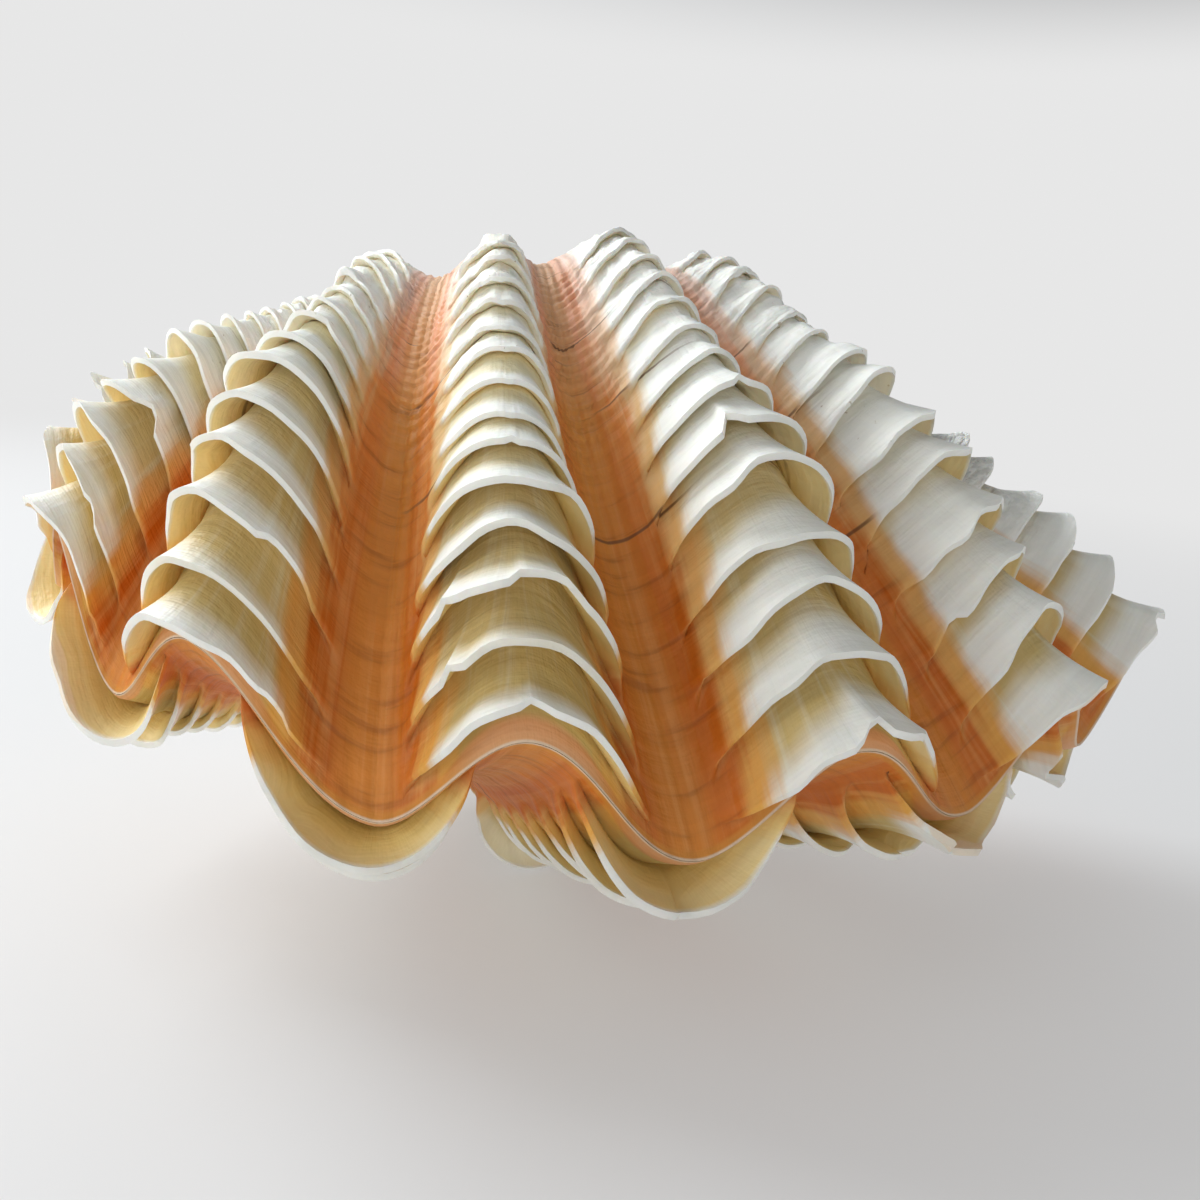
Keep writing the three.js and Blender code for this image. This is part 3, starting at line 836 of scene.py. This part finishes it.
def shell_finish(name, colours, warmth):
    """The chalky, grown finish of a valve, worked out from the sheet's own coordinates.

    Furrows pass over golden flanks into pale crests, with streaks along the ribs, lines across
    them, a crust on the last rib of the right end, and cracks where growth paused.
    """
    f = Finish(bpy.data.materials.new(name))
    wave, rim = f.fact("wave"), f.fact("rim")
    along = f.math("DIVIDE", f.fact("growth"), OLD_AGE, clamp=True)
    streaks = f.spots(f.grown(26.0, 1.6), 1.0, 4.0, 0.6)
    lines = f.spots(f.grown(2.2, 42.0, 4.0), 1.0, 3.0, 0.6)
    patches = f.spots(f.grown(2.4, 5.0, 9.0), 1.0, 3.0, 0.5)
    speckle = f.spots(f.grown(34.0, 60.0, 2.0), 1.0, 2.0, 0.5)

    furrow = furrow_colour(f, colours, along, streaks, lines, patches)
    crest = crest_colour(f, colours, along, streaks, patches, speckle)
    flank = f.ramp(along, [
        (0.0, tuple(colours.flank_gold)),
        (0.4, mixed(colours.flank_gold, colours.root_cream, 0.35)),
        (0.8, mixed(colours.furrow_pink, colours.rim_white, 0.45)),
    ])
    height = f.math("ADD", wave, f.math("MULTIPLY", f.math("SUBTRACT", patches, 0.5), 0.8))
    height = f.math("ADD", height, f.math("MULTIPLY", f.math("SUBTRACT", streaks, 0.5), 0.6))
    height = f.math("ADD", height, f.math("MULTIPLY", rim, 0.3))
    height = f.math("ADD", height, f.math("MULTIPLY", along, 0.35))
    colour = f.mix(f.ease(height, -0.45 + warmth, -0.05 + warmth), furrow, flank)
    colour = f.mix(f.ease(height, 0.0 + warmth, 0.5 + warmth), colour, crest)
    # Painted glow: the under sides get a bright cream that is partly their own colour and partly light
    # shining through the thin scutes, strongest on young scutes
    under = f.math("MULTIPLY_ADD", f.ease(along, 0.25, 0.5), -0.6, 0.85)
    colour = f.mix(f.math("MULTIPLY", f.fact("under"), under), colour, tuple(colours.under_cream_glow))
    crust = f.math("MULTIPLY", f.ease(f.fact("rib_phase"), *CRUST_RIBS), f.ease(along, 0.15, 0.4))
    crust = f.math("MULTIPLY", crust, f.ease(wave, -0.1, 0.5))
    crust = f.math("MULTIPLY", crust, f.ease(speckle, 0.35, 0.65))
    colour = f.mix(f.math("MULTIPLY", crust, 0.55), colour, CRUST_GREY)
    from_middle = f.math("ABSOLUTE", f.math("SUBTRACT", f.fact("rib_phase"), MIDDLE_RIB))
    colour = f.mix(f.math("MULTIPLY", f.ease(from_middle, *END_RIBS), 0.6), colour,
                   mixed(colours.root_cream, colours.furrow_pink, 0.25))
    colour = rest_lines(f, colour, patches)
    colour = margin_colour(f, colours, colour)
    colour = f.mix(f.fact("inside"), colour, tuple(colours.inside_white))
    shade = f.math("ADD", f.math("MULTIPLY", lines, 0.35), 0.83)
    grey = f.add("ShaderNodeCombineColor", [(0, shade), (1, shade), (2, shade)]).outputs[0]
    colour = f.mix(1.0, colour, grey, "MULTIPLY")

    bump = grown_bump(f, streaks, lines, speckle, crust)
    rough = f.math("ADD", f.math("MULTIPLY", patches, 0.3), 0.36)
    shader = f.add("ShaderNodeBsdfPrincipled", [
        ("Base Color", colour), ("Roughness", rough), ("Normal", bump),
        ("Specular IOR Level", 0.3), ("Subsurface Weight", 0.18),
        ("Subsurface Radius", (1.0, 0.55, 0.3)), ("Subsurface Scale", 0.003),
    ])
    f.add("ShaderNodeOutputMaterial", [("Surface", shader.outputs[0])])
    return f.owner


def add_piece(mesh, material, node):
    """Links a valve's mesh as the piece that stands for its CAD node."""
    piece = bpy.data.objects.new(mesh.name, mesh)
    bpy.context.scene.collection.objects.link(piece)
    mesh.materials.append(material)
    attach(piece, "root")
    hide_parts(node)


class CLAM_OT_valves(bpy.types.Operator):
    """Builds the two valves as growth sheets and gives them their finish"""

    bl_idname = "clam.valves"
    bl_label = "Build Valves"

    def execute(self, context):
        sizes, colours = context.scene.clam_sizes, context.scene.clam_colours
        upper = valve_mesh(sizes, "upper_shell_half", 0.0, 1, 11)
        lower = valve_mesh(sizes, "lower_shell_half", 0.5, -1, 41)
        add_piece(upper, shell_finish("upper_shell", colours, 0.0), "upper_valve")
        add_piece(lower, shell_finish("lower_shell", colours, 0.1), "lower_valve")
        return {"FINISHED"}


def area_light(name, place, power, width, colour):
    """A square soft light at a place, turned to the shell."""
    lamp = bpy.data.lights.new(name, "AREA")
    lamp.energy = power
    lamp.size = width
    lamp.color = colour
    lamp_object = bpy.data.objects.new(name, lamp)
    lamp_object.location = place
    lamp_object.rotation_mode = "QUATERNION"
    lamp_object.rotation_quaternion = (Vector(LIT_POINT) - Vector(place)).to_track_quat("-Z", "Y")
    bpy.context.scene.collection.objects.link(lamp_object)


def floor_finish(stage):
    """A matt pale floor mixed with a painted glow in the background's colour: about a third of it
    under the shell, which lightens the shell's shadow, and all of it far out.
    """
    f = Finish(bpy.data.materials.new("plain_floor"))
    place = f.add("ShaderNodeTexCoord").outputs["Object"]
    tone = f.math("ADD", f.math("MULTIPLY", f.spots(place, FLOOR_GRAIN), 0.1), 0.4)
    near = f.add("ShaderNodeBsdfPrincipled", [
        ("Base Color", (*stage.floor_colour, 1)), ("Roughness", tone), ("Specular IOR Level", 0.2)])
    far = f.add("ShaderNodeEmission", [
        ("Color", (*stage.background, 1)), ("Strength", 1.0)])
    away = f.add("ShaderNodeVectorMath", [(0, place)], operation="LENGTH").outputs["Value"]
    # Painted light: the floor's glow grows from about a third under the shell to all of it far out
    both = f.add("ShaderNodeMixShader", [
        ("Fac", f.ease(away, *FLOOR_FADE)), (1, near.outputs[0]), (2, far.outputs[0])])
    f.add("ShaderNodeOutputMaterial", [("Surface", both.outputs[0])])
    return f.owner


def studio_world(stage):
    """Plain light all round: pale at the horizon, dim overhead, bright towards the window."""
    f = Finish(bpy.data.worlds.new("plain_light"))
    way = f.add("ShaderNodeTexCoord").outputs["Generated"]
    height = f.add("ShaderNodeSeparateXYZ", [(0, way)]).outputs["Z"]
    towards = f.add("ShaderNodeVectorMath", [(0, way), (1, WINDOW_WAY)],
                    operation="DOT_PRODUCT").outputs["Value"]
    dome = f.math("MULTIPLY_ADD", f.ease(towards, 0.1, 0.95), 0.8, 0.10)
    colour = f.mix(f.ease(height, *SKY_HEIGHTS), tuple(stage.background), (0.0, 0.0, 0.0))
    horizon = f.add("ShaderNodeBackground", [("Color", colour), ("Strength", 1.0)])
    strength = f.math("MULTIPLY", f.math("MULTIPLY", dome, f.ease(height, *SKY_HEIGHTS)),
                      stage.sky_light)
    sky = f.add("ShaderNodeBackground", [("Color", SKY_COLOUR), ("Strength", strength)])
    both = f.add("ShaderNodeAddShader", [(0, horizon.outputs[0]), (1, sky.outputs[0])])
    f.add("ShaderNodeOutputWorld", [("Surface", both.outputs[0])])
    return f.owner


def shell_camera(sizes, stage):
    """The camera, placed in the shell's own frame and carried to where the pair lies."""
    back = Vector((math.sin(stage.azimuth) * math.cos(stage.elevation),
                   -math.cos(stage.azimuth) * math.cos(stage.elevation), math.sin(stage.elevation)))
    target = Vector(CAMERA_TARGET) * sizes.reach
    right = (-back).cross(Vector((0, 0, 1))).normalized()
    up = right.cross(-back)
    side = right * math.cos(stage.roll) + up * math.sin(stage.roll)
    head = -right * math.sin(stage.roll) + up * math.cos(stage.roll)
    turn = Quaternion(REST_TURN).to_matrix()
    axes = Matrix((turn @ side, turn @ head, turn @ back)).transposed()
    camera = bpy.data.cameras.new("camera")
    camera.sensor_width = SENSOR_WIDTH
    camera.lens = stage.lens
    camera.clip_start, camera.clip_end = CLIP_DISTANCES
    camera_object = bpy.data.objects.new("camera", camera)
    place = turn @ (target + back * stage.distance) + Vector(REST_PLACE)
    camera_object.matrix_world = Matrix.Translation(place) @ axes.to_4x4()
    bpy.context.scene.collection.objects.link(camera_object)
    bpy.context.scene.camera = camera_object


class CLAM_OT_stage(bpy.types.Operator):
    """Builds the plain floor, the soft light and the camera"""

    bl_idname = "clam.stage"
    bl_label = "Build Stage"

    def execute(self, context):
        stage = context.scene.clam_stage
        half = FLOOR_HALF
        corners = [(-half, -half, 0), (half, -half, 0), (half, half, 0), (-half, half, 0)]
        mesh = bpy.data.meshes.new("floor")
        mesh.from_pydata(corners, [], [(0, 1, 2, 3)])
        floor = bpy.data.objects.new("floor", mesh)
        context.scene.collection.objects.link(floor)
        mesh.materials.append(floor_finish(stage))
        context.scene.world = studio_world(stage)
        context.scene.view_settings.view_transform = "Standard"
        for name, (place, share, width, colour) in LIGHTS.items():
            area_light(name, place, stage.light_power * share, width, colour)
        shell_camera(context.scene.clam_sizes, stage)
        return {"FINISHED"}


class CLAM_PT_shell(bpy.types.Panel):
    """Lists the steps and the settings of the clam shell"""

    bl_label = "Clam Shell"
    bl_idname = "CLAM_PT_shell"
    bl_space_type = "VIEW_3D"
    bl_region_type = "UI"
    bl_category = "Clam Shell"

    def draw(self, context):
        layout = self.layout
        for operator in OPERATORS:
            layout.operator(operator.bl_idname)
        for group in (context.scene.clam_sizes, context.scene.clam_colours, context.scene.clam_stage):
            box = layout.box()
            for name in group.__annotations__:
                box.prop(group, name)


OPERATORS = (CLAM_OT_valves, CLAM_OT_stage)
CLASSES = (ClamSizes, ClamColours, ClamStage, *OPERATORS, CLAM_PT_shell)


def register():
    for item in CLASSES:
        bpy.utils.register_class(item)
    bpy.types.Scene.clam_sizes = bpy.props.PointerProperty(type=ClamSizes)
    bpy.types.Scene.clam_colours = bpy.props.PointerProperty(type=ClamColours)
    bpy.types.Scene.clam_stage = bpy.props.PointerProperty(type=ClamStage)


def unregister():
    del bpy.types.Scene.clam_stage
    del bpy.types.Scene.clam_colours
    del bpy.types.Scene.clam_sizes
    for item in reversed(CLASSES):
        bpy.utils.unregister_class(item)


def main():
    """Registers the classes and builds everything in order."""
    register()
    bpy.ops.clam.valves()
    bpy.ops.clam.stage()


if __name__ == "__main__":
    main()
